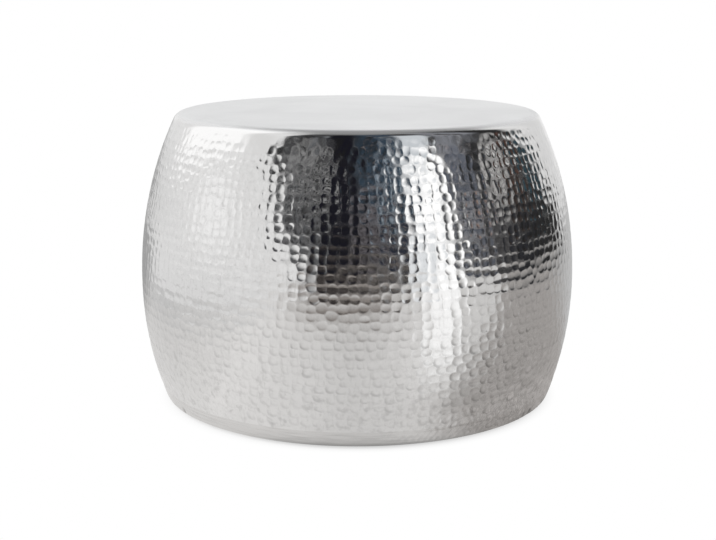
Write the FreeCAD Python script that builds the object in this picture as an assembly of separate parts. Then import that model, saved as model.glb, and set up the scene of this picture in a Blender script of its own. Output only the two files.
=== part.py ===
import FreeCAD, Part
import math
import os

# Overall form of the drum, heights measured from the floor
overall_height = 396.0
belly_diameter = 600.0
belly_height = 169.0
top_set_in = 53.0             # belly radius less the radius where wall and table top would meet
foot_set_in = 31.0            # belly radius less the radius where wall and foot would meet

# Sheet gauges and rounded corners
cap_sheet = 2.0
wall_sheet = 2.0
foot_sheet = 2.0
shoulder_radius = 15.0
foot_radius = 9.0

# Lapped joints, where a set-in lip of the cap and of the foot slides inside the wall
cap_drop = 30.0               # table top down to the joint line
foot_band = 22.0              # foot's underside up to the joint line
lap_length = 14.0
lap_clearance = 0.2

# Foot flange, with its inner edge curled round a wire
flange_reach = 32.0           # end of the foot's rounding to the middle of the wire
wire_diameter = 5.0
wire_clearance = 0.15
curl_wrap_degrees = 240.0

# Push-in glides in the foot flange
glide_head_height = 3.0
glide_head_diameter = 22.0
glide_edge_radius = 1.0
glide_stem_diameter = 8.0
glide_stem_clearance = 0.1
glide_barb_overhang = 0.8
glide_barb_height = 6.0
glide_tip_diameter = 5.0
glide_first_degrees = 45.0
glide_names = ("glide_back_right", "glide_back_left", "glide_front_left", "glide_front_right")

# Crossed flat bars on edge under the table top
brace_depth = 25.0
brace_thickness = 4.0
brace_end_gap = 4.0           # end of the shoulder's rounding to the end of the bar
brace_corner_cut = 12.0
brace_lap_clearance = 0.1

# Welds on the inside
ring_weld_leg = 3.0
weld_clearance = 0.3          # weld to the wall's inner face
seam_weld_width = 6.0
seam_weld_height = 1.4
seam_weld_rounding = 1.0
seam_end_gap = 4.0            # ring weld to the end of the seam weld
stitch_leg = 4.0
stitch_length = 30.0
stitch_shares = (0.3, 0.8)    # along half a bar, first on one side and then on the other

full_turn = 360.0
quarter_turn = 90.0
half = 0.5

origin = FreeCAD.Vector(0, 0, 0)
up = FreeCAD.Vector(0, 0, 1)
outwards = FreeCAD.Vector(1, 0, 0)

belly_radius = belly_diameter * half
foot_bottom = glide_head_height
cap_joint = overall_height - cap_drop
foot_joint = foot_bottom + foot_band
cap_underside = overall_height - cap_sheet
cap_lip_end = cap_joint - lap_length
foot_lip_end = foot_joint + lap_length
lip_inset = wall_sheet + lap_clearance
weld_inset = wall_sheet + weld_clearance


def sweep_radius(rise, set_in):
    """Radius of the arc that leaves the belly upright and comes in by set_in over rise."""
    return (rise ** 2 + set_in ** 2) / (set_in + set_in)


upper_sweep = sweep_radius(overall_height - belly_height, top_set_in)
lower_sweep = sweep_radius(belly_height - foot_bottom, foot_set_in)


def at(radius, height):
    """Point of a profile, which is drawn in the XZ plane and turned about Z."""
    return FreeCAD.Vector(radius, 0, height)


def sweep_at(height):
    """Radius of the wall's outer arc on that side of the belly."""
    return upper_sweep if height > belly_height else lower_sweep


def wall_point(height, inset):
    """Point at a height on the wall's line, moved square to the sheet by inset."""
    sweep = sweep_at(height)
    reach = math.sqrt((sweep - inset) ** 2 - (height - belly_height) ** 2)
    return at(belly_radius - sweep + reach, height)


def line(start, end):
    return Part.LineSegment(start, end).toShape()


def wall_arc(start, end, inset):
    """Arc of the wall's line between two heights on one side of the belly."""
    middle = (start + end) * half
    points = [wall_point(height, inset) for height in (start, middle, end)]
    return Part.Arc(*points).toShape()


def barrel_line(start, end, inset):
    """The wall's line between heights on the two sides of the belly."""
    return [wall_arc(start, belly_height, inset), wall_arc(belly_height, end, inset)]


def on_circle(centre, radius, degrees):
    angle = math.radians(degrees)
    return centre + at(radius * math.cos(angle), radius * math.sin(angle))


def circle_arc(centre, radius, start, end):
    """Arc about a centre in the profile plane, between two angles in degrees."""
    angles = (start, (start + end) * half, end)
    return Part.Arc(*[on_circle(centre, radius, angle) for angle in angles]).toShape()


def turned(edges, degrees=full_turn):
    """Solid of a closed profile turned about Z."""
    return Part.Face(Part.Wire(edges)).revolve(origin, up, degrees)


def corner_centre(corner_radius, height):
    """Centre of a rounded corner that runs into the wall's line."""
    return wall_point(height, corner_radius)


def corner_angle(centre):
    """Angle, seen from the corner's centre, at which its rounding meets the wall's line."""
    sweep_centre = at(belly_radius - sweep_at(centre.z), belly_height)
    reach = centre - sweep_centre
    return math.degrees(math.atan2(reach.z, reach.x))


shoulder_centre = corner_centre(shoulder_radius, overall_height - shoulder_radius)
shoulder_angle = corner_angle(shoulder_centre)
foot_centre = corner_centre(foot_radius, foot_bottom + foot_radius)
foot_angle = corner_angle(foot_centre)
curl_inside = wire_diameter * half + wire_clearance
curl_outside = curl_inside + foot_sheet
curl_centre = at(foot_centre.x - flange_reach, foot_bottom + curl_outside)
curl_end = -quarter_turn - curl_wrap_degrees
glide_circle = (foot_centre.x + curl_centre.x) * half
glide_hole = glide_stem_diameter * half + glide_stem_clearance
brace_half = shoulder_centre.x - brace_end_gap


def top_cap():
    """Spun pan: flat table top, rounded shoulder, short skirt and a lip set in below the joint."""
    outer_end = on_circle(shoulder_centre, shoulder_radius, shoulder_angle)
    inner_round = shoulder_radius - cap_sheet
    inner_end = on_circle(shoulder_centre, inner_round, shoulder_angle)
    lip_inside = lip_inset + cap_sheet
    set_in_top = cap_joint + cap_sheet
    top_edge = at(shoulder_centre.x, overall_height)
    under_edge = at(shoulder_centre.x, cap_underside)
    edges = [
        line(at(0, overall_height), top_edge),
        circle_arc(shoulder_centre, shoulder_radius, quarter_turn, shoulder_angle),
        wall_arc(outer_end.z, cap_joint, 0),
        line(wall_point(cap_joint, 0), wall_point(cap_joint, lip_inset)),
        wall_arc(cap_joint, cap_lip_end, lip_inset),
        line(wall_point(cap_lip_end, lip_inset), wall_point(cap_lip_end, lip_inside)),
        wall_arc(cap_lip_end, set_in_top, lip_inside),
        line(wall_point(set_in_top, lip_inside), wall_point(set_in_top, cap_sheet)),
        wall_arc(set_in_top, inner_end.z, cap_sheet),
        circle_arc(shoulder_centre, inner_round, shoulder_angle, quarter_turn),
        line(under_edge, at(0, cap_underside)),
        line(at(0, cap_underside), at(0, overall_height)),
    ]
    return turned(edges)


def hammered_wall():
    """Barrel of rolled sheet between the two joint lines."""
    edges = barrel_line(foot_joint, cap_joint, 0)
    edges.append(line(wall_point(cap_joint, 0), wall_point(cap_joint, wall_sheet)))
    edges += barrel_line(cap_joint, foot_joint, wall_sheet)
    edges.append(line(wall_point(foot_joint, wall_sheet), wall_point(foot_joint, 0)))
    return turned(edges)


def foot_ring():
    """Plain band under the wall, rounded into a flat flange whose inner edge is curled for the wire."""
    outer_end = on_circle(foot_centre, foot_radius, foot_angle)
    inner_round = foot_radius - foot_sheet
    inner_end = on_circle(foot_centre, inner_round, foot_angle)
    lip_inside = lip_inset + foot_sheet
    set_in_bottom = foot_joint - foot_sheet
    flange_top = foot_bottom + foot_sheet
    edges = [
        wall_arc(foot_joint, outer_end.z, 0),
        circle_arc(foot_centre, foot_radius, foot_angle, -quarter_turn),
        line(at(foot_centre.x, foot_bottom), at(curl_centre.x, foot_bottom)),
        circle_arc(curl_centre, curl_outside, -quarter_turn, curl_end),
        line(on_circle(curl_centre, curl_outside, curl_end), on_circle(curl_centre, curl_inside, curl_end)),
        circle_arc(curl_centre, curl_inside, curl_end, -quarter_turn),
        line(at(curl_centre.x, flange_top), at(foot_centre.x, flange_top)),
        circle_arc(foot_centre, inner_round, -quarter_turn, foot_angle),
        wall_arc(inner_end.z, set_in_bottom, foot_sheet),
        line(wall_point(set_in_bottom, foot_sheet), wall_point(set_in_bottom, lip_inside)),
        wall_arc(set_in_bottom, foot_lip_end, lip_inside),
        line(wall_point(foot_lip_end, lip_inside), wall_point(foot_lip_end, lip_inset)),
        wall_arc(foot_lip_end, foot_joint, lip_inset),
        line(wall_point(foot_joint, lip_inset), wall_point(foot_joint, 0)),
    ]
    hole = Part.makeCylinder(glide_hole, foot_sheet, at(glide_circle, foot_bottom), up)
    return turned(edges).cut(round_the_foot(hole))


def round_the_foot(shape):
    """Copies of a shape at the glides' places round the foot."""
    return [placed_round(shape, step) for step in range(len(glide_names))]


def placed_round(shape, step):
    copy = shape.copy()
    copy.rotate(origin, up, glide_first_degrees + step * full_turn / len(glide_names))
    return copy


def rim_wire():
    """Wire ring that stiffens the flange's curled edge."""
    return Part.makeTorus(curl_centre.x, wire_diameter * half, at(0, curl_centre.z), up)


def glide():
    """Push-in glide: round head on the floor, stem through the flange and a barb above it."""
    head = glide_head_diameter * half
    stem = glide_stem_diameter * half
    barb = glide_hole + glide_barb_overhang
    barb_bottom = foot_bottom + foot_sheet
    barb_top = barb_bottom + glide_barb_height
    edge_centre = at(head - glide_edge_radius, glide_edge_radius)
    edges = [
        line(at(0, 0), at(edge_centre.x, 0)),
        circle_arc(edge_centre, glide_edge_radius, -quarter_turn, 0),
        line(at(head, edge_centre.z), at(head, foot_bottom)),
        line(at(head, foot_bottom), at(stem, foot_bottom)),
        line(at(stem, foot_bottom), at(stem, barb_bottom)),
        line(at(stem, barb_bottom), at(barb, barb_bottom)),
        line(at(barb, barb_bottom), at(glide_tip_diameter * half, barb_top)),
        line(at(glide_tip_diameter * half, barb_top), at(0, barb_top)),
        line(at(0, barb_top), at(0, 0)),
    ]
    return turned(edges).translated(at(glide_circle, 0))


def brace(slot_opens_down):
    """Flat bar on edge along X with clipped lower corners and half of the cross lap cut in its middle."""
    bottom = cap_underside - brace_depth
    cut_height = bottom + brace_corner_cut
    cut_end = brace_half - brace_corner_cut
    corners = [
        at(-brace_half, cap_underside),
        at(brace_half, cap_underside),
        at(brace_half, cut_height),
        at(cut_end, bottom),
        at(-cut_end, bottom),
        at(-brace_half, cut_height),
    ]
    outline = Part.Face(Part.makePolygon(corners + corners[:1]))
    thickness = FreeCAD.Vector(0, brace_thickness, 0)
    bar = outline.extrude(thickness).translated(thickness * -half)
    slot_width = brace_thickness + brace_lap_clearance + brace_lap_clearance
    slot_depth = brace_depth * half
    slot_bottom = bottom if slot_opens_down else cap_underside - slot_depth
    slot_corner = FreeCAD.Vector(slot_width, slot_width, 0) * -half + at(0, slot_bottom)
    return bar.cut(Part.makeBox(slot_width, slot_width, slot_depth, slot_corner))


def brace_side_to_side():
    return brace(slot_opens_down=True)


def brace_front_to_back():
    bar = brace(slot_opens_down=False)
    bar.rotate(origin, up, quarter_turn)
    return bar


def stitch_weld(share, side):
    """Short fillet weld in the corner of a bar along X and the table top."""
    face = brace_thickness * half
    corner = FreeCAD.Vector(brace_half * share - stitch_length * half, side * face, cap_underside)
    along_top = corner + FreeCAD.Vector(0, side * stitch_leg, 0)
    down_bar = corner - at(0, stitch_leg)
    section = Part.Face(Part.makePolygon([corner, along_top, down_bar, corner]))
    return section.extrude(outwards * stitch_length)


def brace_stitch_welds():
    """The stitches of one half bar, repeated on the four halves."""
    first, second = stitch_shares
    pair = Part.makeCompound([stitch_weld(first, 1), stitch_weld(second, -1)])
    turns = round(full_turn / quarter_turn)
    welds = []
    for turn in range(turns):
        copy = pair.copy()
        copy.rotate(origin, up, turn * quarter_turn)
        welds += copy.Solids
    return Part.makeCompound(welds)


def ring_weld(lip_end, direction):
    """Fillet weld all round, between the end of a lip and the wall's inner face."""
    toe = lip_end + direction * ring_weld_leg
    corner = wall_point(lip_end, weld_inset)
    on_lip = corner - at(ring_weld_leg, 0)
    edges = [
        wall_arc(lip_end, toe, weld_inset),
        line(wall_point(toe, weld_inset), on_lip),
        line(on_lip, corner),
    ]
    return turned(edges)


def cap_weld_bead():
    return ring_weld(cap_lip_end, -1)


def foot_weld_bead():
    return ring_weld(foot_lip_end, 1)


def seam_weld_bead():
    """Low rounded weld down the wall's inner face, along the seam at the back."""
    bottom = foot_lip_end + ring_weld_leg + seam_end_gap
    top = cap_lip_end - ring_weld_leg - seam_end_gap
    crest = weld_inset + seam_weld_height
    edges = barrel_line(bottom, top, weld_inset)
    edges.append(line(wall_point(top, weld_inset), wall_point(top, crest)))
    edges += barrel_line(top, bottom, crest)
    edges.append(line(wall_point(bottom, crest), wall_point(bottom, weld_inset)))
    spread = math.degrees(seam_weld_width / belly_radius)
    bead = turned(edges, spread)
    sharp = [edge for edge in bead.Edges if runs_up_the_wall(edge, crest)]
    bead = bead.makeFillet(seam_weld_rounding, sharp)
    bead.rotate(origin, up, quarter_turn - spread * half)
    return bead


def runs_up_the_wall(edge, inset):
    """Whether an edge climbs the wall, nearer to that inset than to the wall's inner face."""
    first, last = (vertex.Point for vertex in edge.Vertexes)
    distance = abs(math.hypot(first.x, first.y) - wall_point(first.z, inset).x)
    return abs(first.z - last.z) > seam_weld_width and distance < seam_weld_height * half


def glides():
    return dict(zip(glide_names, round_the_foot(glide())))


def pieces():
    single = (
        top_cap,
        hammered_wall,
        foot_ring,
        rim_wire,
        brace_side_to_side,
        brace_front_to_back,
        brace_stitch_welds,
        cap_weld_bead,
        foot_weld_bead,
        seam_weld_bead,
    )
    named = {make.__name__: make() for make in single}
    named.update(glides())
    return named


os.makedirs("parts", exist_ok=True)
for name, shape in pieces().items():
    shape.exportStep(os.path.join("parts", name + ".step"))
    print(name, "solids", len(shape.Solids), "valid", shape.isValid(), "volume", round(shape.Volume))
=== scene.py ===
import math

import bpy
import numpy as np
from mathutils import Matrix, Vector


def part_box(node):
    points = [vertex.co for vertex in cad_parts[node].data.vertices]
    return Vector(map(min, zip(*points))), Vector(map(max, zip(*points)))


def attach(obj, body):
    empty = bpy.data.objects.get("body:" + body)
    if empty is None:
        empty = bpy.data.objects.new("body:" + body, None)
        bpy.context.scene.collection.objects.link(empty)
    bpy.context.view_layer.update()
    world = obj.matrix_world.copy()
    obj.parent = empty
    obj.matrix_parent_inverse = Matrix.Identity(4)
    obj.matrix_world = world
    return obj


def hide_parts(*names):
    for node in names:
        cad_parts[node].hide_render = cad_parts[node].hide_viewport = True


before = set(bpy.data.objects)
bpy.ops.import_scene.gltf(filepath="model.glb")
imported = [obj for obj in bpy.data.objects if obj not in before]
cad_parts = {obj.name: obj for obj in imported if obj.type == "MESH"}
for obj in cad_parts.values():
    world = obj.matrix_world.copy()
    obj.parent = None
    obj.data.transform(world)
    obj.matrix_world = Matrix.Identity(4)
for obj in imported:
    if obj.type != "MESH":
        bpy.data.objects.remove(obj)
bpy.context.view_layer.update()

turn = 2 * math.pi
quarter = turn / 4
hair = 1e-5  # metres, for picking out the rings of a solid
print("frame loaded:", len(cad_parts), "nodes")


# Shader writing

class Value:
    def __init__(self, paint, socket):
        self.paint = paint
        self.socket = socket

    def __add__(self, other):
        return self.paint.maths("ADD", self, other)

    def __radd__(self, other):
        return self.paint.maths("ADD", other, self)

    def __sub__(self, other):
        return self.paint.maths("SUBTRACT", self, other)

    def __rsub__(self, other):
        return self.paint.maths("SUBTRACT", other, self)

    def __mul__(self, other):
        return self.paint.maths("MULTIPLY", self, other)

    def __rmul__(self, other):
        return self.paint.maths("MULTIPLY", other, self)

    def __truediv__(self, other):
        return self.paint.maths("DIVIDE", self, other)


class Paint:
    def __init__(self, owner):
        owner.use_nodes = True
        self.owner = owner
        self.tree = owner.node_tree
        self.tree.nodes.clear()

    def node(self, kind, settings=None, inputs=None, output=0):
        made = self.tree.nodes.new("ShaderNode" + kind)
        for name, setting in (settings or {}).items():
            if name == "stops":
                self.setStops(made.color_ramp, setting)
            else:
                setattr(made, name, setting)
        for name, given in (inputs or {}).items():
            if isinstance(given, Value):
                self.tree.links.new(given.socket, made.inputs[name])
            else:
                made.inputs[name].default_value = given
        return Value(self, made.outputs[output]) if made.outputs else made

    def maths(self, operation, *values):
        return self.node("Math", {"operation": operation}, dict(enumerate(values)))

    def setStops(self, ramp, stops):
        while len(ramp.elements) < len(stops):
            ramp.elements.new(1)
        for element, (place, colour) in zip(ramp.elements, stops):
            element.position = place
            element.color = (*colour, 1)

    def smooth(self, value, low, high):
        inputs = {"Value": value, "From Min": low, "From Max": high}
        return self.node("MapRange", {"interpolation_type": "SMOOTHSTEP"}, inputs)

    def between(self, value, low, high, soft=4):
        begun = self.smooth(value, low - soft, low + soft)
        ended = self.smooth(value, high - soft, high + soft)
        return begun * (1 - ended)

    def bends(self, value, listed):  # sum of smooth steps, each with its size, its start and its end
        total = 0
        for size, low, high in listed:
            total = total + size * self.smooth(value, low, high)
        return total

    def mixed(self, factor, first, second):  # between two colours
        return self.node("Mix", {"data_type": "RGBA"}, {0: factor, 6: first, 7: second}, 2)

    def layered(self, tone, *layers):  # masks, each with the colour that it lays over the tone
        for mask, colour in layers:
            tone = self.mixed(mask, tone, colour)
        return tone

    def noise(self, place, scale, detail=3.0, roughness=0.5, distortion=0.0):
        inputs = {"Vector": place, "Scale": scale, "Detail": detail, "Roughness": roughness}
        return self.node("TexNoise", None, {**inputs, "Distortion": distortion}, "Fac")

    def speckle(self, place, scale, low, high, detail=3.0, roughness=0.6):  # noise cut to between two levels
        return self.smooth(self.noise(place, scale, detail, roughness), low, high)

    def stretched(self, place, scale):
        return self.node("Mapping", None, {"Vector": place, "Scale": scale})

    def axis(self, place, number):
        return self.node("SeparateXYZ", None, {0: place}, number)

    def joined(self, x, y):
        return self.node("CombineXYZ", None, {0: x, 1: y})

    def azimuth(self, place):  # degrees from the viewer's side, turning to the right
        return self.maths("ARCTAN2", self.axis(place, 0), 0 - self.axis(place, 1)) * (360 / turn)

    def fromFront(self, across):  # the same, but with its jump at the front in place of the back
        return self.maths("FLOORED_MODULO", across, 360.0)

    def elevation(self, place, radius):  # degrees up from level
        return self.maths("ARCSINE", self.axis(place, 2) / radius) * (360 / turn)

    def mark(self, name):  # value kept on the mesh's points
        return self.node("Attribute", {"attribute_name": name}, None, "Fac")

    def shownRays(self):  # camera, glossy and transmission rays
        rays = [self.node("LightPath", None, None, name)
                for name in ("Is Camera Ray", "Is Glossy Ray", "Is Transmission Ray")]
        return rays[0] + rays[1] + rays[2]

    def finish(self, shader, kind="OutputMaterial"):
        self.node(kind, None, {"Surface": shader})
        return self.owner


def newPaint(name):  # and the place on the mesh, in metres
    paint = Paint(bpy.data.materials.new(name))
    return paint, paint.node("TexCoord", None, None, "Object")


def grey(level, warmth=0.0):
    return (level * (1 + warmth), level, level * (1 - warmth), 1)


# Measures of the drum, read from the solids

sheet = {"gauge": 0.002, "lapClearance": 0.0002, "sharpFrom": 40}  # metres, and degrees
lip = sheet["gauge"] + sheet["lapClearance"]  # how far a set-in lip lies under the wall's line
lipBack = lip + sheet["gauge"]


def ringsOf(node):
    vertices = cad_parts[node].data.vertices
    points = np.zeros(len(vertices) * 3)
    vertices.foreach_get("co", points)
    points = points.reshape(-1, 3)
    return np.hypot(points[:, 0], points[:, 1]), points[:, 2]


def widestAt(node, height):
    radius, level = ringsOf(node)
    return float(radius[np.abs(level - height) < hair].max())


def sweepOf(rise, setIn):
    return (rise ** 2 + setIn ** 2) / (2 * setIn)


wallRadii, wallLevels = ringsOf("hammered_wall")
bellyRadius = float(wallRadii.max())
bellyHeight = float(wallLevels[wallRadii.argmax()])
footJoint, capJoint = (corner.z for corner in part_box("hammered_wall"))
capLipEnd, topHeight = (corner.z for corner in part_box("top_cap"))
upperSweep = sweepOf(capJoint - bellyHeight, bellyRadius - widestAt("hammered_wall", capJoint))
lowerSweep = sweepOf(bellyHeight - footJoint, bellyRadius - widestAt("hammered_wall", footJoint))
flatRadius = widestAt("top_cap", topHeight)

footBottom, footLipEnd = (corner.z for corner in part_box("foot_ring"))
soleRadius = widestAt("foot_ring", footBottom)
wireHeight = sum(corner.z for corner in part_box("rim_wire")) / 2
curlOutside = wireHeight - footBottom
curlRadius = float(ringsOf("foot_ring")[0].min()) + curlOutside


def cornerOf(flat, height, sweep):  # rounding from a flat to the wall's line: radius, and angle there
    rise, reach = abs(height - bellyHeight), flat - (bellyRadius - sweep)
    radius = (reach ** 2 + rise ** 2 - sweep ** 2) / (2 * (rise - sweep))
    return radius, math.copysign(math.atan2(rise - radius, reach), height - bellyHeight)


shoulderRadius, shoulderAngle = cornerOf(flatRadius, topHeight, upperSweep)
footRadius, footAngle = cornerOf(soleRadius, footBottom, lowerSweep)
print("belly", round(bellyRadius, 4), "shoulder", round(shoulderRadius, 4), "foot", round(footRadius, 4))


def lineAngle(height, inset=0.0):
    sweep = upperSweep if height > bellyHeight else lowerSweep
    return math.asin((height - bellyHeight) / (sweep - inset))


def linePoint(angle, inset=0.0):  # radius, height and outward normal on the wall's line
    sweep = upperSweep if angle > 0 else lowerSweep
    radius = bellyRadius - sweep + (sweep - inset) * math.cos(angle)
    height = bellyHeight + (sweep - inset) * math.sin(angle)
    return radius, height, math.cos(angle), math.sin(angle)


def insetPoint(height, inset):  # the wall's line moved in, at a height
    return linePoint(lineAngle(height, inset), inset)


def arcPoint(centre, radius, angle):  # the same on a rounding
    outward, upward = math.cos(angle), math.sin(angle)
    return centre[0] + radius * outward, centre[1] + radius * upward, outward, upward


upperLength = upperSweep * shoulderAngle  # wall's line from the shoulder down to the belly
capLength = upperLength - upperSweep * lineAngle(capJoint)
wallLength = upperLength - lowerSweep * lineAngle(footJoint)
lineLength = upperLength - lowerSweep * footAngle  # down to the foot's rounding
footArc = footRadius * (quarter + footAngle)  # along the rounding


def angleAlong(down):  # angle on the wall's line at a distance down from the shoulder
    if down < upperLength:
        return shoulderAngle - down / upperSweep
    return (upperLength - down) / lowerSweep


# Hammer marks, as overlapping shallow cups in level courses. Spacing, wander and reach are given at the
# shoulder, the belly and the foot. Patches have degrees to the right of the front, a width and an amount
hammer = {
    "seed": 20,
    "spacing": (0.0102, 0.0129, 0.0153),
    "courseStep": 0.0119,
    "wanderAcross": (0.14, 0.035, 0.07),
    "wanderDown": (0.13, 0.10, 0.15),
    "reach": (0.98, 1.1, 1.12),  # half width of a cup over half its spacing
    "drift": 0.16,  # of each course against the one above
    "cupDepth": 0.00033, "depthSpread": 0.00006,
    "cupSpread": 0.10, "cupSpreadLimit": 0.25,
    "squareness": 0.28,  # of a cup's section, with a flat floor and a steep rim
    "tilt": 0.013,
    "ridgeSoftness": 0.00002, "ridgeWidth": 0.00004,
    "exponentLimit": 60,  # keeps the sum in range
    # where the hammering begins under the shoulder, and how much lower it begins in patches
    "topFade": 0.009, "topLeast": 0.12, "shoulderFade": 0.004,
    "topRagged": [(0.25, 11, 2), (0.2, 17, 4)],  # amount, times around and start
    "plainPatches": [
        (-29, 6, 4.0), (-13, 8, 7.5), (-2, 5, 4.0), (31, 6, 5.5),
        (118, 20, 1.2), (-120, 24, 1.4), (176, 12, 1.8),
    ],
    # lighter blows above, with deeper patches, and some deeper ones under the belly
    "lightAbove": 0.10, "lightLeast": 0.5, "deepLimit": 1.2,
    "deepPatches": [(52, 15, 0.6), (-58, 20, 0.5), (150, 30, 0.4), (-140, 26, 0.3)],
    "lowFade": 0.04,
    "lowPatches": [(40, 20, 0.45), (-150, 40, 0.2)],
    "calm": (0.02, 0.03, 0.18),  # height above the belly, width, and how much shallower the cups are there
    # where it ends over the foot, and how many metres lower it ends in patches
    "footPast": 0.003, "footRagged": (0.002, 13), "footFade": 0.012,
    "footPatches": [(38, 20, 0.022), (112, 22, 0.009), (-58, 14, 0.005), (-150, 26, 0.011)],
    "footStruck": 0.015,
    "roundingFade": (0.7, 0.6),
    "seamGroove": 0.00005, "seamWidth": 0.0007,  # faint line above the foot
    # small folds in the foot's edge
    "creases": [(-58, 0.7, 0.0011), (57.5, 0.9, 0.0014), (54, 0.5, 0.0008), (160, 0.8, 0.0011)],
    "creaseFade": (0.009, 0.007),
    # slow unevenness of hand-worked sheet: how many waves, their height, times around and length
    "waves": (9, 0.00016, (3, 15), 0.16), "ripples": (12, 0.00003, (30, 110), 0.03),
    "dings": (9, 0.00005, (9, 44), 0.006), "planish": (14, 0.00015, (110, 240), 0.009),
    "rippleFade": 0.02, "rippleLoss": 0.8, "planishFade": (0.03, 0.02),
    # painted shade in a cup, darkest on its lower left as seen from the front: in its middle, and how it
    # grows across and down
    "paintedShadeFrom": (0.2, -0.6, 0.8), "paintedShadeSpread": 0.16, "paintedShadeShare": (0.35, 1.1),
    "paintedShadeFull": 0.4, "lessOnRimFrom": 0.7, "lessOnRimOver": 0.4, "lessOnRim": 0.8,
    "paintedShadeLevels": (0.25, 0.85, 0.5),  # above the belly, below it and at the foot
    "paintedShadeBlend": 0.03, "paintedShadeLimit": 1.4, "creaseShade": 0.0005,
    "paintedShadePatches": [(-56, 30, -0.75), (28, 13, 0.35), (68, 22, -0.6), (140, 30, 0.2)],
}
rng = np.random.default_rng(hammer["seed"])


def makeCourses():
    total = round(lineLength / hammer["courseStep"])
    step = lineLength / total
    limit = hammer["cupSpreadLimit"]
    courses, phase = [], 0.0
    for course in range(total):
        down = (course + 0.5) * step
        places = (0, upperLength, lineLength)
        spacing, wander, rise, reach = (float(np.interp(down, places, hammer[name]))
                                        for name in ("spacing", "wanderAcross", "wanderDown", "reach"))
        count = round(turn * linePoint(angleAlong(down))[0] / spacing)
        phase += rng.normal(0, hammer["drift"])
        spread = rng.normal(0, 1, (2, count)) * np.array([[wander], [rise]])
        shape = 1 + rng.normal(0, hammer["cupSpread"], (2, count)).clip(-limit, limit)
        courses.append({
            "phase": phase, "count": count,
            "around": (phase + np.arange(count) + spread[0]) * turn / count - quarter,
            "down": down + spread[1] * step,
            "depth": hammer["cupDepth"] + rng.normal(0, hammer["depthSpread"], count),
            "tilt": rng.normal(0, hammer["tilt"], (2, count)),
            "width": shape * np.array([[spacing / 2], [step / 2]]) * reach,
            # each cup's share of painted shade, and a random shift of it
            "grime": rng.uniform(*hammer["paintedShadeShare"], count),
            "darkening": rng.normal(0, hammer["paintedShadeSpread"], count),
        })
    return courses, step


def makeWaves(total, height, around, length):
    return [{
        "around": int(rng.integers(*around)), "down": rng.uniform(-1, 1) * turn / length,
        "start": rng.uniform(0, turn), "height": height * rng.uniform(0.5, 1.0),
    } for _ in range(total)]


courses, courseStep = makeCourses()
waves = makeWaves(*hammer["waves"])
ripples = makeWaves(*hammer["ripples"])
dings = makeWaves(*hammer["dings"])
planish = makeWaves(*hammer["planish"])
print(len(courses), "courses of hammer marks")


def waveLift(pattern, down, around):
    return sum(w["height"] * np.cos(w["around"] * around + w["down"] * down + w["start"]) for w in pattern)


def anglesOf(columns):
    return np.arange(columns) * turn / columns


def smooth(share):
    share = np.clip(share, 0, 1)
    return share ** 2 * (3 - 2 * share)


def patches(around, listed):
    across = np.degrees(around) + 90
    total = 0
    for middle, width, amount in listed:
        apart = (across - middle + 180) % 360 - 180
        total = total + amount * np.exp(-(apart / width) ** 2)
    return total


def cupShade(u, v, rim, darkening):  # painted shade over one cup, fading off its rim again
    inMiddle, growsAcross, growsDown = hammer["paintedShadeFrom"]
    side = np.clip(inMiddle + growsAcross * u + growsDown * v + darkening, 0, 1)
    lessOnRim = hammer["lessOnRim"] * smooth((rim - hammer["lessOnRimFrom"]) / hammer["lessOnRimOver"])
    return side * smooth(rim / hammer["paintedShadeFull"]) * (1 - lessOnRim)


def strikes(down, columns):  # depth below the unstruck sheet, and the painted shade in each cup
    around = anglesOf(columns)
    radius = linePoint(angleAlong(down))[0]
    middle = int(down / courseStep)
    squareness, softness = hammer["squareness"], hammer["ridgeSoftness"]
    total, deepest, grime = np.ones(columns), np.zeros(columns), np.zeros(columns)
    for course in courses[max(middle - 2, 0):middle + 3]:  # those that can reach this far
        base = np.floor((around / turn + 0.25) * course["count"] - course["phase"]).astype(int)
        for step in (-1, 0, 1, 2):
            mark = (base + step) % course["count"]
            apart = around - course["around"][mark]
            across = ((apart + math.pi) % turn - math.pi) * radius
            along = down - course["down"][mark]
            width, tilt = course["width"][:, mark], course["tilt"][:, mark]
            u, v = across / width[0], along / width[1]
            rim = u ** 2 + v ** 2
            fall = 1 - rim * (1 - squareness) - rim ** 3 * squareness
            cut = course["depth"][mark] * fall + tilt[0] * across + tilt[1] * along
            total += np.exp(np.minimum(cut / softness, hammer["exponentLimit"]))
            shade = cupShade(u, v, rim, course["darkening"][mark])
            grime = np.where(cut > deepest, shade * course["grime"][mark], grime)
            deepest = np.maximum(deepest, cut)
    return softness * np.log(total), grime


def workedShare(down, around):  # the hammering begins raggedly under the shoulder and dies out over the foot
    ragged = 1
    for amount, times, start in hammer["topRagged"]:
        ragged = ragged + amount * np.cos(times * around + start)
    ragged = ragged + patches(around, hammer["plainPatches"])
    top = hammer["topLeast"] + (1 - hammer["topLeast"]) * smooth(down / (hammer["topFade"] * ragged))
    light = hammer["lightLeast"] + (1 - hammer["lightLeast"]) * smooth(down / hammer["lightAbove"])
    light = np.minimum(light + patches(around, hammer["deepPatches"]), hammer["deepLimit"])
    amount, times = hammer["footRagged"]
    end = wallLength + hammer["footPast"] + amount * np.cos(times * around)
    end = end + patches(around, hammer["footPatches"])
    low = 1 + patches(around, hammer["lowPatches"]) * smooth((down - upperLength) / hammer["lowFade"])
    above, width, less = hammer["calm"]
    calm = 1 - less * math.exp(-((upperLength - above - down) / width) ** 2)
    fade = smooth((end - down) / hammer["footFade"])
    return top * light * low * calm * fade * smooth(down / hammer["shoulderFade"])


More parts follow.
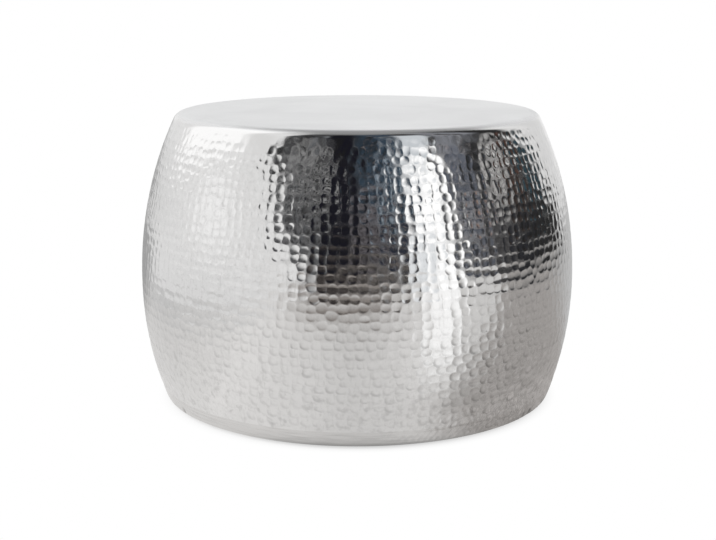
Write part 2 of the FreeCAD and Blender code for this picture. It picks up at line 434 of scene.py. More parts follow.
def unevenLift(down, around, struck):
    towardsFoot = smooth((down - wallLength + hammer["footFade"]) / hammer["footFade"])
    lift = waveLift(waves, down, around) * (1 - towardsFoot) + waveLift(dings, down, around) * towardsFoot
    fewer = 1 - hammer["rippleLoss"] * smooth(down / hammer["lightAbove"])
    lift = lift + waveLift(ripples, down, around) * smooth(down / hammer["rippleFade"]) * fewer
    before, over = hammer["planishFade"]
    return lift + waveLift(planish, down, around) * struck * smooth((down - wallLength + before) / over)


def hammeredLift(down, columns):  # how far the sheet stands out, and the marks that its finish needs
    around = anglesOf(columns)
    cups, grime = strikes(down, columns)
    share = workedShare(down, around)
    struck = np.clip(patches(around, hammer["footPatches"]) / hammer["footStruck"], 0, 1)  # on the foot
    seam = math.exp(-((down - wallLength) / hammer["seamWidth"]) ** 2) * hammer["seamGroove"] * (1 - struck)
    before, over = hammer["creaseFade"]
    crease = patches(around, hammer["creases"]) * smooth((down - lineLength + before) / over)
    lift = unevenLift(down, around, struck) - crease
    ends, over = hammer["roundingFade"]
    toRounding = smooth((lineLength + footArc * ends - down) / (footArc * over))
    # how much painted shade the cups get: less above the belly, more below it, and more or less in patches
    belly = (upperLength - hammer["paintedShadeBlend"], upperLength + hammer["paintedShadeBlend"])
    left = np.interp(down, (*belly, lineLength), hammer["paintedShadeLevels"])
    left = np.clip(left + patches(around, hammer["paintedShadePatches"]) * left, 0, hammer["paintedShadeLimit"])
    marks = {
        "ridge": np.exp(-cups / hammer["ridgeWidth"]) * share,
        # painted shade in the cups, and painted shade in the foot's creases
        "grime": grime * share * left + crease / hammer["creaseShade"],
    }
    return (lift - cups * share) * toRounding - seam, marks


# Meshes made of rings about the upright axis

class Rings:
    def __init__(self):
        self.points, self.marks, self.lengths = [], [], []
        self.last = None

    def keep(self, radius, height, points, marks):
        if self.last is not None:
            self.lengths.append(math.dist(self.last, (radius, height)))
        self.last = (radius, height)
        self.points.append(points)
        self.marks.append(marks or {})

    def add(self, point, columns, lift=None, marks=None):
        radius, height, outward, upward = point
        around = anglesOf(columns)
        rise = np.zeros(columns) if lift is None else lift
        out, up = radius + rise * outward, height + rise * upward
        self.keep(radius, height, np.stack([out * np.cos(around), out * np.sin(around), up], 1), marks)

    def pole(self, height):
        self.keep(0, height, np.array([[0.0, 0.0, height]]), None)

    def band(self, first, second):  # faces between two rings, as rows of vertex numbers and of shares around
        a, b = len(self.points[first]), len(self.points[second])
        fewer = min(a, b)
        columns = fewer if fewer > 1 else max(a, b)
        j = np.arange(columns)
        cornersA = self.edge(a, columns, j)
        cornersB = self.edge(b, columns, j)
        rows = np.concatenate([cornersA[:1], cornersB, cornersA[:0:-1]])
        isB = [False] + [True] * len(cornersB) + [False] * (len(cornersA) - 1)
        sizes = np.where(isB, b, a)[:, None]
        shares = np.where(sizes > 1, rows / sizes, (j + 0.5) / columns)
        return rows % sizes, shares, np.array(isB)

    def edge(self, size, columns, j):  # the vertices along one side of each face
        if size == 1:
            return np.zeros((1, columns), int)
        step = size // columns
        return np.stack([j * step + k for k in range(step + 1)])

    def mesh(self, name, closed):
        count = len(self.points)
        starts = np.cumsum([0] + [len(ring) for ring in self.points])
        pairs = [(k, k + 1) for k in range(count - 1)] + ([(count - 1, 0)] if closed else [])
        down = np.cumsum([0] + self.lengths + ([sheet["gauge"]] if closed else []))
        down = down / down[-1]
        loops, maps, sizes = [], [], []
        for k, (first, second) in enumerate(pairs):
            rows, shares, isB = self.band(first, second)
            offset = np.where(isB, starts[second], starts[first])[:, None]
            level = np.where(isB, down[k + 1], down[k])[:, None] + 0 * shares
            loops.append((rows + offset).T.ravel())
            maps.append(np.stack([shares, level], 2).transpose(1, 0, 2).reshape(-1, 2))
            sizes += [len(rows)] * rows.shape[1]
        mesh = bpy.data.meshes.new(name)
        fillMesh(mesh, np.concatenate(self.points), np.concatenate(loops), np.array(sizes))
        layer = mesh.uv_layers.new(name="OFBake")
        layer.uv.foreach_set("vector", np.concatenate(maps).astype(np.float32).ravel())
        for mark in ("ridge", "grime"):
            values = [marks.get(mark, np.zeros(len(ring))) for marks, ring in zip(self.marks, self.points)]
            kept = mesh.attributes.new(mark, "FLOAT", "POINT").data
            kept.foreach_set("value", np.concatenate(values).astype(np.float32))
        return mesh


def fillMesh(mesh, points, loops, sizes):
    mesh.vertices.add(len(points))
    mesh.vertices.foreach_set("co", points.astype(np.float32).ravel())
    mesh.loops.add(len(loops))
    mesh.loops.foreach_set("vertex_index", loops.astype(np.int32))
    mesh.polygons.add(len(sizes))
    mesh.polygons.foreach_set("loop_start", np.concatenate([[0], np.cumsum(sizes)[:-1]]).astype(np.int32))
    mesh.update(calc_edges=True)
    mesh.polygons.foreach_set("use_smooth", np.ones(len(sizes), bool))
    mesh.set_sharp_from_angle(angle=math.radians(sheet["sharpFrom"]))


def addPiece(name, rings, closed, material, node):
    mesh = rings.mesh(name, closed)
    piece = bpy.data.objects.new(name, mesh)
    bpy.context.scene.collection.objects.link(piece)
    mesh.materials.append(material)
    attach(piece, "root")
    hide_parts(node)
    print(name, len(mesh.polygons), "faces")


# Hammered wall

wall = {"columns": 1920, "rowStep": 0.0010, "insideColumns": 320, "insideRows": 36}


def addHammered(rings, start, end):  # rows of hammered sheet between two distances down the wall's line
    columns = wall["columns"]
    for down in np.linspace(start, end, round((end - start) / wall["rowStep"]) + 1):
        rings.add(linePoint(angleAlong(float(down))), columns, *hammeredLift(float(down), columns))


def wallPiece(material):
    rings = Rings()
    addHammered(rings, capLength, wallLength)
    for height in np.linspace(footJoint, capJoint, wall["insideRows"] + 1):
        rings.add(insetPoint(float(height), sheet["gauge"]), wall["insideColumns"])
    addPiece("hammeredWall", rings, True, material, "hammered_wall")


# Table top with its shoulder and skirt

cap = {
    "flatStep": 0.009, "shoulderRows": 14, "insideRows": 8,
    "columnShares": ((0.03, 16), (0.06, 8), (0.12, 4), (0.2, 2)),  # fewer columns inside these radii
    # the flat is spun and polished by hand, so it isn't quite true: turns across, turns back and start
    "ripple": 0.00005, "rippleFade": 0.05, "ripples": ((61, 23, 0), (-31, 47, 1), (83, -59, 2)),
}


def flatColumns(radius):
    for limit, share in cap["columnShares"]:
        if radius < limit:
            return wall["columns"] // share
    return wall["columns"]


def rippleLift(radius, columns):
    around = anglesOf(columns)
    x, y = radius * np.cos(around), radius * np.sin(around)
    fade = min((flatRadius - radius) / cap["rippleFade"], 1)
    return cap["ripple"] * fade * sum(np.sin(a * x + b * y + start) for a, b, start in cap["ripples"])


def capPiece(material):
    rings = Rings()
    rings.pole(topHeight)
    for radius in np.linspace(0, flatRadius, round(flatRadius / cap["flatStep"]) + 1)[1:]:
        columns = flatColumns(radius)
        rings.add((radius, topHeight, 0, 1), columns, rippleLift(radius, columns))
    lift = waveLift(waves, 0, anglesOf(wall["columns"]))
    corner = (flatRadius, topHeight - shoulderRadius)
    for angle in np.linspace(quarter, shoulderAngle, cap["shoulderRows"] + 1)[1:]:
        blend = (quarter - angle) / (quarter - shoulderAngle)
        rings.add(arcPoint(corner, shoulderRadius, angle), wall["columns"], lift * blend)
    addHammered(rings, wall["rowStep"], capLength)

    # set-in lip, then the inside
    gauge, columns = sheet["gauge"], wall["insideColumns"]
    middle, above = (capJoint + capLipEnd) / 2, capJoint + gauge
    for height, inset in (
        (capJoint, lip), (middle, lip), (capLipEnd, lip),
        (capLipEnd, lipBack), (middle, lipBack), (above, lipBack), (above, gauge),
    ):
        rings.add(insetPoint(height, inset), columns)
    for angle in np.linspace(shoulderAngle, quarter, cap["shoulderRows"] // 2 + 1):
        rings.add(arcPoint(corner, shoulderRadius - gauge, angle), columns)
    for radius in np.linspace(flatRadius, 0, cap["insideRows"] + 1)[1:-1]:
        rings.add((radius, topHeight - gauge, 0, -1), columns)
    rings.pole(topHeight - gauge)
    addPiece("tableTop", rings, False, material, "top_cap")


# Foot: plain band, rounded into a flange whose inner edge is curled round the wire

foot = {"roundRows": 12, "curlSteps": 14, "curlWrap": 240.0}


def footPiece(material):
    rings = Rings()
    addHammered(rings, wallLength, lineLength)
    gauge, columns = sheet["gauge"], wall["insideColumns"]
    corner, curl = (soleRadius, footBottom + footRadius), (curlRadius, wireHeight)
    curlEnd = -quarter - math.radians(foot["curlWrap"])

    def addRound(centre, radius, start, end, steps):
        for angle in np.linspace(start, end, steps + 1)[1:]:
            rings.add(arcPoint(centre, radius, angle), columns)

    for angle in np.linspace(footAngle, -quarter, foot["roundRows"] + 1)[1:]:
        lift = hammeredLift(float(lineLength + footRadius * (footAngle - angle)), wall["columns"])
        rings.add(arcPoint(corner, footRadius, angle), wall["columns"], *lift)
    rings.add((soleRadius - gauge, footBottom, 0, -1), columns)
    rings.add((curlRadius, footBottom, 0, -1), columns)
    addRound(curl, curlOutside, -quarter, curlEnd, foot["curlSteps"])
    rings.add(arcPoint(curl, curlOutside - gauge, curlEnd), columns)
    addRound(curl, curlOutside - gauge, curlEnd, -quarter, foot["curlSteps"])
    rings.add((soleRadius, footBottom + gauge, 0, 1), columns)
    addRound(corner, footRadius - gauge, -quarter, footAngle, foot["roundRows"] // 2)

    # set-in lip
    below = footJoint - gauge
    for height, inset in (
        (below, gauge), (below, lipBack), (footJoint, lipBack), (footLipEnd, lipBack),
        (footLipEnd, lip), (footJoint, lip),
    ):
        rings.add(insetPoint(height, inset), columns)
    addPiece("footRing", rings, True, material, "foot_ring")


# Finishes. A noise has its scale, detail and roughness, and a speckle its scale and the levels it is cut to

def surface(paint, colour, roughness, relief, depth, metallic=1.0):
    normal = paint.node("Bump", None, {"Height": relief, "Distance": depth})
    inputs = {"Base Color": colour, "Metallic": metallic, "Roughness": roughness, "Normal": normal}
    return paint.finish(paint.node("BsdfPrincipled", None, inputs))


hammeredLook = {
    "tones": (grey(0.765, 0.004), grey(0.725, 0.006)), "cloud": (7.0, 4.0, 0.55), "haze": (60.0, 3.0, 0.6),
    # dark tones: painted shade in the cups, then the stains and the streaks
    "grime": grey(0.30, 0.012), "darkening": grey(0.45, 0.01), "streak": grey(0.48, 0.01),
    "mottle": (210.0, 0.5, 0.74, 3.0, 0.65), "mottleCloud": (0.35, 0.65), "mottleShare": 0.3,
    "smudge": (95.0, 0.5, 0.7), "smudgeHeights": (0.06, 0.15), "smudgeShare": 0.4,
    "streakShape": (300, 300, 34), "streaks": (1.0, 0.52, 0.74), "streakShare": 0.27,
    "roughness": (0.06, 0.05, 0.12),  # least, more in the haze and on the ridges
    "grain": (700.0, 2.0, 0.5), "grainDepth": 0.000012,
}


def hammeredFinish():  # the hammer's face leaves the cups bright, and the ridges between stay satin
    look = hammeredLook
    paint, place = newPaint("hammeredAluminium")
    cloud = paint.noise(place, *look["cloud"])
    haze = paint.noise(place, *look["haze"])
    mottle = paint.speckle(place, *look["mottle"]) * paint.smooth(cloud, *look["mottleCloud"])
    low = 1 - paint.smooth(paint.axis(place, 2), *look["smudgeHeights"])
    smudge = paint.speckle(place, *look["smudge"]) * low
    streaks = paint.speckle(paint.stretched(place, look["streakShape"]), *look["streaks"])
    # the mark lays painted shade on the cups' lower sides and in the creases
    colour = paint.layered(
        paint.mixed(cloud, *look["tones"]), (paint.mark("grime") * haze, look["grime"]),
        (mottle * look["mottleShare"], look["darkening"]), (smudge * look["smudgeShare"], look["darkening"]),
        (streaks * look["streakShare"], look["streak"]),
    )
    least, hazy, onRidges = look["roughness"]
    roughness = least + hazy * haze + onRidges * paint.mark("ridge")
    return surface(paint, colour, roughness, paint.noise(place, *look["grain"]), look["grainDepth"])


satinLook = {
    "tones": (grey(0.84, -0.008), grey(0.785, -0.008)), "cloud": (6.0, 5.0, 0.6, 0.6), "cloudCut": (0.3, 0.7),
    "skirt": grey(0.745, 0.005), "satinShare": 0.5,  # how far the satin runs over the shoulder
    "roughness": (0.07, 0.21, 0.14, 0.12),  # least, more on the flat, in its cloud and on the ridges
    "grain": (900.0, 2.0, 0.5), "grainDepth": 0.00001,
}


def topFinish():
    look = satinLook
    paint, place = newPaint("satinAluminium")
    cloud = paint.noise(place, *look["cloud"])
    satinFrom = topHeight - shoulderRadius * look["satinShare"]
    flat = paint.smooth(paint.axis(place, 2), satinFrom, topHeight)
    satin = paint.mixed(paint.smooth(cloud, *look["cloudCut"]), *look["tones"])
    colour = paint.mixed(flat, look["skirt"], satin)
    least, onFlat, cloudy, onRidges = look["roughness"]
    roughness = least + flat * (onFlat + cloudy * cloud) + onRidges * paint.mark("ridge")
    return surface(paint, colour, roughness, paint.noise(place, *look["grain"]), look["grainDepth"])


bandLook = {
    "tones": (grey(0.715, 0.008), grey(0.635, 0.012)), "cloud": (16.0, 4.0, 0.6),
    "grime": grey(0.40, 0.02), "paintedShadeShare": 0.6,
    "lineShape": (14, 14, 420), "lines": (1.0, 3.0, 0.6), "lineCut": (0.5, 0.72), "lineShare": 0.35,
    "lineDepth": 0.00006,
    "roughness": (0.10, 0.08, 0.1),  # least, more in the cloud and on the ridges
}


def footFinish():  # plain rolled band, dressed by hand, with faint lines around
    look = bandLook
    paint, place = newPaint("polishedAluminium")
    cloud = paint.noise(place, *look["cloud"])
    lines = paint.noise(paint.stretched(place, look["lineShape"]), *look["lines"])
    colour = paint.mixed(cloud, *look["tones"])
    lined = paint.smooth(lines, *look["lineCut"]) * look["lineShare"]
    # the mark's painted shade, from the cups and creases, and the faint lines darken the band towards one
    # tone
    colour = paint.mixed(paint.mark("grime") * look["paintedShadeShare"] + lined, colour, look["grime"])
    least, cloudy, onRidges = look["roughness"]
    roughness = least + cloudy * cloud + onRidges * paint.mark("ridge")
    return surface(paint, colour, roughness, lines, look["lineDepth"])


plainLooks = {
    "millAluminium": {
        "tones": (grey(0.6572), grey(0.5828)), "cloud": (40.0, 4.0, 0.6), "roughness": (0.3, 0.15),
        "grain": (1600.0, 2.0, 0.5), "grainDepth": 0.00002, "metallic": 1.0,
        "pieces": ("rim_wire", "brace_side_to_side", "brace_front_to_back"),
    },
    "weldMetal": {
        "tones": (grey(0.583), grey(0.517)), "cloud": (90.0, 4.0, 0.6), "roughness": (0.35, 0.2),
        "grain": (3600.0, 2.0, 0.5), "grainDepth": 0.00002, "metallic": 1.0,
        "pieces": ("cap_weld_bead", "foot_weld_bead", "seam_weld_bead", "brace_stitch_welds"),
    },
    "glideNylon": {
        "tones": (grey(0.028), grey(0.045)), "cloud": (120.0, 3.0, 0.5), "roughness": (0.45, 0.2),
        "grain": (120.0, 3.0, 0.5), "grainDepth": 0.00005, "metallic": 0.0,
        "pieces": ("glide_front_left", "glide_front_right", "glide_back_left", "glide_back_right"),
    },
}


def plainFinish(name):
    look = plainLooks[name]
    paint, place = newPaint(name)
    cloud, grain = paint.noise(place, *look["cloud"]), paint.noise(place, *look["grain"])
    least, cloudy = look["roughness"]
    return surface(paint, paint.mixed(cloud, *look["tones"]), least + cloudy * cloud, grain,
                   look["grainDepth"], look["metallic"])


wallPiece(hammeredFinish())
capPiece(topFinish())
footPiece(footFinish())
for name, look in plainLooks.items():
    finish = plainFinish(name)
    for node in look["pieces"]:
        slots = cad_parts[node].data.materials
        slots.clear()
        slots.append(finish)
print("pieces dressed")


# Stage: floor, studio surroundings, lamp, sky and camera

studio = {
    "floorRadius": 40.0, "floorSides": 96, "floorLevel": 0.95, "floorRoughness": 0.9,
    "whiteFrom": 0.225, "whiteTo": 0.285, "reflectedFloor": 0.92,
    "roomRadius": 3.0, "roomCentre": 0.2, "roomLow": -5.0, "roomSides": 64, "roomRows": 20,
    "wobbleNoise": (1.6, 3.0, 0.6), "wobble": 7.0, "wobbleUp": 0.5,  # of the edges in the room, in degrees
    "skyLight": 0.82, "keyPower": 24.0, "keyPlace": (-1.7, -1.1, 2.5), "keyAim": (0, 0, 0.2), "keySize": 1.8,
}


def stageMesh(name, points, faces, material):
    mesh = bpy.data.meshes.new(name)
    mesh.from_pydata(points, [], faces)
    mesh.materials.append(material)
    stand = bpy.data.objects.new(name, mesh)
    bpy.context.scene.collection.objects.link(stand)
    return stand


def ringPoints(radius, height, sides):
    return [(radius * math.cos(angle), radius * math.sin(angle), height) for angle in anglesOf(sides)]


def glowing(paint, colour):  # shows its colour as it is, and takes no light
    inputs = {"Base Color": grey(0.0), "Roughness": 1.0, "Specular IOR Level": 0.0, "Emission Strength": 1.0}
    return paint.node("BsdfPrincipled", None, {**inputs, "Emission Color": colour})


# Floor as the drum's lower half mirrors it, painted with shade, a painted shadow of the drum and a painted
# pool of light. Sectors are in degrees to the right of the front, with their softness, and reaches are in
# metres
mirroredFloor = {
    "nearFoot": [
        (-180, 0.62), (-140, 0.68), (-112, 0.74), (-84, 0.80), (-62, 0.87), (-46, 0.95), (-30, 0.87),
        (-14, 0.80), (-2, 0.74), (10, 0.77), (20, 0.86), (34, 0.78), (150, 0.62), (180, 0.62),
    ],
    "warmth": 0.012,
    "cloud": (14.0, 0.3, 0.7), "cloudShare": 0.12, "cloudTone": grey(0.45),
    "left": (-150, -42, 8), "dipReach": (0.45, 0.85), "dipShare": 0.55, "dipTone": grey(0.66),
    "backLeft": (-150, -94, 8), "backDip": 0.4,
    "farReach": (0.92, 1.06), "farTone": grey(0.89),
    "front": (-30, 18, 12), "frontReach": (0.4, 2.0), "frontShare": 0.95,
    "frontTone": (0.215, 0.185, 0.165, 1),
    "sideSlant": 0.14, "sideFrom": (-0.38, -0.22), "sideRight": (0.04, 0.2),
    "speck": (34.0, 0.38, 0.62), "speckTones": ((0.33, 0.31, 0.295, 1), (0.45, 0.425, 0.41, 1)),
    "fleck": (46.0, 0.5, 0.64), "fleckReach": (0.31, 0.38), "fleckShare": 0.65,
    "fleckTone": (0.62, 0.585, 0.565, 1),
    "backRight": (100, 130), "backRightTone": grey(0.54),
    "right": (74, 130, 8), "rightReach": (1.0, 3.2), "rightTone": grey(0.07),
    # light pool that widens away from the drum
    "poolAlong": (0.695, -0.719), "poolOffset": 0.127, "poolStart": 0.3, "poolWidth": 0.03,
    "poolWidens": 0.16, "poolEdge": (0.5, 1.3), "poolReach": (0.29, 0.62), "poolTone": grey(1.24),
    "back": (186, 235, 10), "backReach": (0.6, 2.4, 0.3), "backShare": 0.9, "backTone": grey(0.32),
    # shade under the foot, less on the side and where it is lit
    "underReach": (0.252, 0.292), "underShares": (0.85, 0.4, 0.7), "lit": (-115, -24, 16),
    "underTone": grey(0.08),
}


# tone of the floor in the drum's painted shadow
def shadowedFloorTone(paint, place, apart, across):
    look = mirroredFloor
    fleck = paint.speckle(place, *look["fleck"]) * (1 - paint.smooth(apart, *look["fleckReach"]))
    right = paint.between(across, *look["right"]) * paint.smooth(apart, *look["rightReach"])
    return paint.layered(
        paint.mixed(paint.speckle(place, *look["speck"]), *look["speckTones"]),
        (fleck * look["fleckShare"], look["fleckTone"]),
        (paint.smooth(across, *look["backRight"]), look["backRightTone"]), (right, look["rightTone"]),
    )


def poolMask(paint, x, y):
    look = mirroredFloor
    towardsX, towardsY = look["poolAlong"]
    along = towardsX * x + towardsY * y
    beside = towardsX * y - towardsY * x
    width = look["poolWidth"] + look["poolWidens"] * (along - look["poolStart"])
    offset = paint.maths("ABSOLUTE", beside + look["poolOffset"])
    return (1 - paint.smooth(offset / width, *look["poolEdge"])) * paint.smooth(along, *look["poolReach"])


def floorTone(paint, place, apart):
    look = mirroredFloor
    across = paint.azimuth(place)
    x, y = paint.axis(place, 0), paint.axis(place, 1)
    stops = [((degrees + 180) / 360, grey(level, look["warmth"])[:3]) for degrees, level in look["nearFoot"]]
    left = paint.between(across, *look["left"])
    dip = look["dipShare"] + look["backDip"] * paint.between(across, *look["backLeft"])
    front = paint.between(across, *look["front"]) * paint.smooth(apart, *look["frontReach"])
    # painted shadow of the drum on the floor to its right
    side = paint.smooth(y + look["sideSlant"] * x, *look["sideFrom"]) * paint.smooth(x, *look["sideRight"])
    back = paint.between(paint.fromFront(across), *look["back"]) * paint.between(apart, *look["backReach"])
    under = 1 - paint.smooth(apart, *look["underReach"])
    most, lessOnSide, lessWhereLit = look["underShares"]
    shaded = most - lessOnSide * side - lessWhereLit * paint.between(across, *look["lit"])
    return paint.layered(
        paint.node("ValToRGB", {"stops": stops}, {"Fac": (across + 180) / 360}),
        (paint.speckle(place, *look["cloud"]) * look["cloudShare"], look["cloudTone"]),
        (paint.smooth(0 - x, *look["dipReach"]) * left * dip, look["dipTone"]),
        (paint.smooth(0 - x, *look["farReach"]) * left, look["farTone"]),
        (front * look["frontShare"], look["frontTone"]),
        (side, shadowedFloorTone(paint, place, apart, across)),
        (poolMask(paint, x, y), look["poolTone"]),
        (back * look["backShare"], look["backTone"]),
        (under * shaded, look["underTone"]),
    )


def floorStage():
    paint, place = newPaint("floorWhite")
    apart = paint.node("VectorMath", {"operation": "LENGTH"}, {0: place}, "Value")
    far = paint.smooth(apart, studio["whiteFrom"], studio["whiteTo"])
    inputs = {"Base Color": grey(studio["floorLevel"]), "Roughness": studio["floorRoughness"]}
    matt = paint.node("BsdfPrincipled", None, {**inputs, "Specular IOR Level": 0.0})
    white = paint.node("Emission", None, {"Color": grey(1.0), "Strength": 1.0})
    seen = paint.node("MixShader", None, {0: paint.shownRays() * far, 1: matt, 2: white})
    # the painted floor, with its painted shade, shadow and light pool, is what glossy rays see
    mirrored = glowing(paint, floorTone(paint, place, apart))
    inMirror = paint.node("LightPath", None, None, "Is Glossy Ray") * studio["reflectedFloor"]
    paint.finish(paint.node("MixShader", None, {0: inMirror, 1: seen, 2: mirrored}))
    sides = studio["floorSides"]
    stageMesh("floor", ringPoints(studio["floorRadius"], 0, sides), [list(range(sides))], paint.owner)


# Surroundings seen from the drum. Directions are in degrees, across from the viewer to the right and up from
# level, with their softness where it isn't 4. Areas have their directions across and up, and a tone
lightSide = {
    "cloud": (1.6, 0.3, 0.7, 4.0, 0.6), "tones": (grey(0.88, 0.004), grey(0.99)),
    # bright area on the left, whose lower edge climbs to the right
    "climb": 0.42, "climbFrom": -145, "climbSoft": 2.5,
    "bright": ((-122, -72, 6), (4, 85, 6)), "brightTone": grey(1.28),
    "areas": [
        ((-92, -68, 7), (4, 19), grey(1.12)),
        ((-150, -106, 8), (0, 9), grey(0.86)),
        ((124, 152, 8), (-90, 120), grey(0.82)),
    ],
    "ceilingUp": (42, 60), "ceilingRight": (-1.75, -0.5), "ceilingTone": grey(0.33),
}
darkSide = {
    "base": grey(0.035),
    "panels": [
        ((-60, -18), (-12, 90), (0.075, 0.075, 0.079)),
        ((-42, -20), (5, 18), (0.16, 0.16, 0.165)),
        ((-18, 1, 3), (-12, 90), (0.011, 0.011, 0.018)),
        ((3, 30), (13, 90), (0.040, 0.066, 0.098)),
        ((13, 17, 1.5), (14, 34), (0.42, 0.50, 0.58)),
        ((3, 30), (-12, 13), (0.065, 0.062, 0.065)),
        ((1, 12, 2), (-12, 24), (0.15, 0.14, 0.152)),
        ((12, 24, 3), (-12, 15), (0.03, 0.036, 0.055)),
        ((-34, -4), (-12, 5), (0.088, 0.076, 0.072)),
        ((-4, 28), (-12, 5), (0.16, 0.145, 0.135)),
        ((52, 70, 3), (-12, 90), (0.14, 0.155, 0.19)),
        ((53, 65, 3), (8, 20), (0.28, 0.285, 0.305)),
        ((50, 82), (33, 90), (0.29, 0.30, 0.33)),
        ((65, 69, 1.5), (30, 36), (0.42, 0.43, 0.46)),
        ((48, 69), (-12, -1), (0.42, 0.40, 0.38)),
        ((70, 104, 3), (-12, 12), (0.035, 0.036, 0.042)),
        ((66, 83), (-12, 11), (0.085, 0.083, 0.085)),
        ((77, 91, 1.5), (12, 27), (0.61, 0.60, 0.59)),
        ((83, 91, 2), (17, 28), (0.98, 0.97, 0.96)),
        ((91, 104, 2), (5, 24), (0.07, 0.055, 0.05)),
        ((94, 99, 1.5), (18, 24), (0.13, 0.06, 0.045)),
        ((64, 67, 1), (12, 16), (0.42, 0.26, 0.18)),
        ((104, 113, 2), (6, 20), (0.045, 0.085, 0.108)),
    ],
    "streakShape": (0.11, 0.035), "streak": (1.0, 4.0, 0.65),
    "shadeCut": (0.48, 0.38), "shadeShare": 0.8, "shadeTone": grey(0.016),
    "glintCut": (0.54, 0.68), "glintShare": 0.6, "glintTone": (0.36, 0.385, 0.41, 1),
    "glintEnd": (50, 57), "noGlint": (-17, 0, 2),
    "grit": (5.0, 0.46, 0.62, 4.0, 0.7), "gritShare": 0.6, "gritTone": grey(0.018),
    "smallShape": (0.2, 0.3),
    "spots": (1.3, 0.58, 0.65), "spotsAcross": (5, 72, 5), "spotShare": 0.6,
    "spotScale": 0.6, "spotTones": ((0.55, 0.38, 0.30, 1), (0.40, 0.48, 0.56, 1)),
    "netScale": 0.9, "netCut": (0.03, 0.12), "netTone": grey(0.36),
    "net": ((-44, -13, 1.5), (22, 40, 3)),
    # edges of the dark side, which move to the left by so many degrees from one height to another
    "leftEdge": -22.5, "leftBends": [(19.5, 2, 15), (2, 20, 26), (10, 27, 34), (-6, 34, 38)],
    "leftSoft": 7, "leftSharper": (5, 6, 14),
    "rightEdge": 129, "rightBends": [(12, 1, 6), (-3, 7, 11), (8, 13, 19), (7, 20, 24)], "rightSoft": 5,
    "endUp": (60, 80),
    "behind": (186, 222, 16), "behindUp": (-4, 6), "behindTone": grey(0.32),
}
softbox = {  # tall light to the right of the viewer
    "left": (24.5, 30), "right": (49, 56), "top": (48, 58),
    "shift": 1.5, "lean": (1.5, 8, 22), "leftBulge": 2, "leftBulgeUp": (8, 25),
    "narrowLow": 4, "narrowLowUp": (0, 21), "narrowHigh": [(6, 31, 35), (-3, 36, 40)],
    "tone": grey(1.42), "dimTone": (0.72, 0.76, 0.80, 1), "dimUp": (31, 39),
    "shadedBelow": (8, 16), "shadedBar": (26, 31, 1.5), "shadedLeft": (34, 42), "shadedShare": 0.65,
}


def areaMask(paint, across, up, sides, heights):
    return paint.between(across, *sides) * paint.between(up, *heights)


def areaLayers(paint, across, up, areas):
    return [(areaMask(paint, across, up, sides, heights), (*colour[:3], 1))
            for sides, heights, colour in areas]


def lightTone(paint, place, across, up):
    look = lightSide
    rising = up - look["climb"] * (across - look["climbFrom"])
    bright = paint.smooth(rising, -look["climbSoft"], look["climbSoft"])
    right = paint.smooth(paint.axis(place, 0), *look["ceilingRight"])
    return paint.layered(
        paint.mixed(paint.speckle(place, *look["cloud"]), *look["tones"]),
        (bright * areaMask(paint, across, up, *look["bright"]), look["brightTone"]),
        *areaLayers(paint, across, up, look["areas"]),
        (paint.smooth(up, *look["ceilingUp"]) * right, look["ceilingTone"]),
    )


def darkTone(paint, place, across, up):
    look = darkSide
    wide, tall = look["streakShape"]
    streak = paint.noise(paint.joined(across * wide, up * tall), *look["streak"])
    glint = paint.smooth(streak, *look["glintCut"]) * (1 - paint.smooth(across, *look["glintEnd"]))
    glint = glint * (1 - paint.between(across, *look["noGlint"]))
    wide, tall = look["smallShape"]
    small = paint.joined(across * wide, up * tall)
    spots = paint.speckle(small, *look["spots"]) * paint.between(across, *look["spotsAcross"])
    spotTone = paint.mixed(paint.noise(small, look["spotScale"]), *look["spotTones"])
    cells = {"Vector": small, "Scale": look["netScale"]}
    lines = paint.node("TexVoronoi", {"feature": "DISTANCE_TO_EDGE"}, cells)
    net = (1 - paint.smooth(lines, *look["netCut"])) * areaMask(paint, across, up, *look["net"])
    return paint.layered(
        look["base"], *areaLayers(paint, across, up, look["panels"]),
        (paint.smooth(streak, *look["shadeCut"]) * look["shadeShare"], look["shadeTone"]),
        (glint * look["glintShare"], look["glintTone"]),
        (paint.speckle(place, *look["grit"]) * look["gritShare"], look["gritTone"]),
        (spots * look["spotShare"], spotTone), (net, look["netTone"]),
    )


def darkMask(paint, across, up):
    look = darkSide
    pastLeft = across - look["leftEdge"] + paint.bends(up, look["leftBends"])
    leftSoft = look["leftSoft"] - paint.bends(up, [look["leftSharper"]])
    beforeRight = look["rightEdge"] - across - paint.bends(up, look["rightBends"])
    mask = paint.smooth(pastLeft / leftSoft, -1, 1)
    mask = mask * paint.smooth(beforeRight, -look["rightSoft"], look["rightSoft"])
    return mask * (1 - paint.smooth(up, *look["endUp"]))


def softboxLayer(paint, across, up):
    look = softbox
    lean = across + look["shift"] + paint.bends(up, [look["lean"]])
    narrower = look["narrowLow"] * paint.between(up, *look["narrowLowUp"])
    narrower = narrower + paint.bends(up, look["narrowHigh"])
    bulge = look["leftBulge"] * paint.between(up, *look["leftBulgeUp"])
    mask = paint.smooth(lean - bulge, *look["left"]) * (1 - paint.smooth(lean + narrower, *look["right"]))
    shaded = 1 - paint.smooth(up, *look["shadedBelow"]) + paint.between(up, *look["shadedBar"])
    shaded = shaded * (1 - paint.smooth(across, *look["shadedLeft"])) * look["shadedShare"]
    pane = paint.mixed(paint.smooth(up, *look["dimUp"]) + shaded, look["tone"], look["dimTone"])
    return mask * (1 - paint.smooth(up, *look["top"])), pane


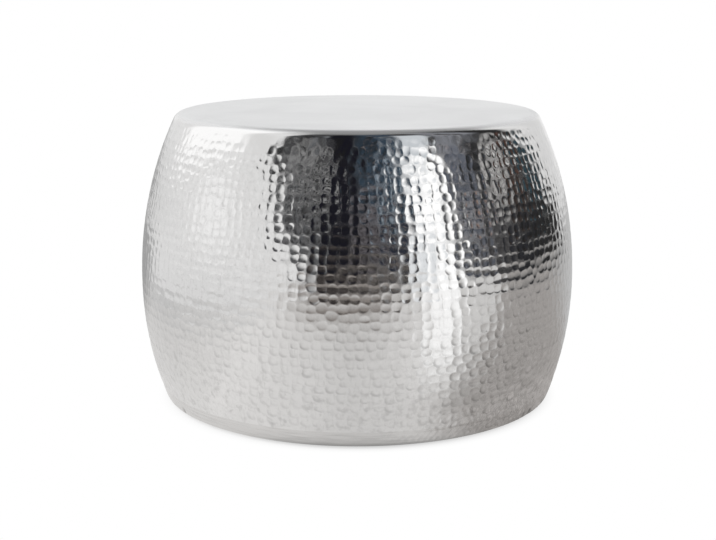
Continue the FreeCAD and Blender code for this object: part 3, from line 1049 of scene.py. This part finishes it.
def roomTone(paint, place):
    wobble = (paint.noise(place, *studio["wobbleNoise"]) - 0.5) * studio["wobble"]
    across = paint.azimuth(place) + wobble
    up = paint.elevation(place, studio["roomRadius"]) + wobble * studio["wobbleUp"]
    behind = paint.between(paint.fromFront(across), *darkSide["behind"])
    behind = behind * (1 - paint.smooth(up, *darkSide["behindUp"]))
    return paint.layered(
        lightTone(paint, place, across, up),
        (darkMask(paint, across, up), darkTone(paint, place, across, up)),
        (behind, darkSide["behindTone"]), softboxLayer(paint, across, up),
    )


def roomStage():  # dome that only shows in reflections
    paint, place = newPaint("studioRoom")
    paint.finish(glowing(paint, roomTone(paint, place)))
    sides, rows, radius = studio["roomSides"], studio["roomRows"], studio["roomRadius"]
    lowest = math.radians(studio["roomLow"])
    points, faces = [], []
    for row in range(rows):
        up = lowest + (quarter - lowest) * row / rows
        points += ringPoints(radius * math.cos(up), radius * math.sin(up), sides)
        start = row * sides
        for k in range(sides):
            here, beside = start + k, start + (k + 1) % sides
            above = [beside + sides, here + sides] if row < rows - 1 else [rows * sides]
            faces.append([here, beside, *above])
    points.append((0, 0, radius))
    dome = stageMesh("studioRoom", points, faces, paint.owner)
    dome.location.z = studio["roomCentre"]
    dome.visible_camera = False
    dome.visible_diffuse = False
    dome.visible_shadow = False


def keyLamp():
    light = bpy.data.lights.new("keyLamp", "AREA")
    light.size = studio["keySize"]
    light.energy = studio["keyPower"]
    stand = bpy.data.objects.new("keyLamp", light)
    bpy.context.scene.collection.objects.link(stand)
    stand.location = studio["keyPlace"]
    aim = Vector(studio["keyAim"]) - Vector(studio["keyPlace"])
    stand.rotation_euler = aim.to_track_quat("-Z", "Y").to_euler()
    stand.visible_glossy = False


def skyLight():
    world = bpy.data.worlds.new("studioSky")
    bpy.context.scene.world = world
    paint = Paint(world)
    soft = paint.node("Background", None, {"Color": grey(1.0), "Strength": studio["skyLight"]})
    white = paint.node("Background", None, {"Color": grey(1.0), "Strength": 1.0})
    sky = paint.node("MixShader", None, {0: paint.shownRays(), 1: soft, 2: white})
    paint.finish(sky, "OutputWorld")


camera = {
    "place": (0.0011, -1.880, 0.579), "pitch": 12.25,
    "focalPixels": 1363.0, "imageWidth": 716.0, "sensorWidth": 36.0,
}


def placeCamera():
    view = bpy.data.cameras.new("photoView")
    view.sensor_width = camera["sensorWidth"]
    view.lens = view.sensor_width * camera["focalPixels"] / camera["imageWidth"]
    stand = bpy.data.objects.new("photoView", view)
    bpy.context.scene.collection.objects.link(stand)
    stand.location = camera["place"]
    stand.rotation_euler = (math.radians(90 - camera["pitch"]), 0, 0)
    bpy.context.scene.camera = stand


floorStage()
roomStage()
keyLamp()
skyLight()
placeCamera()
bpy.context.scene.view_settings.view_transform = "Standard"
print("stage set")
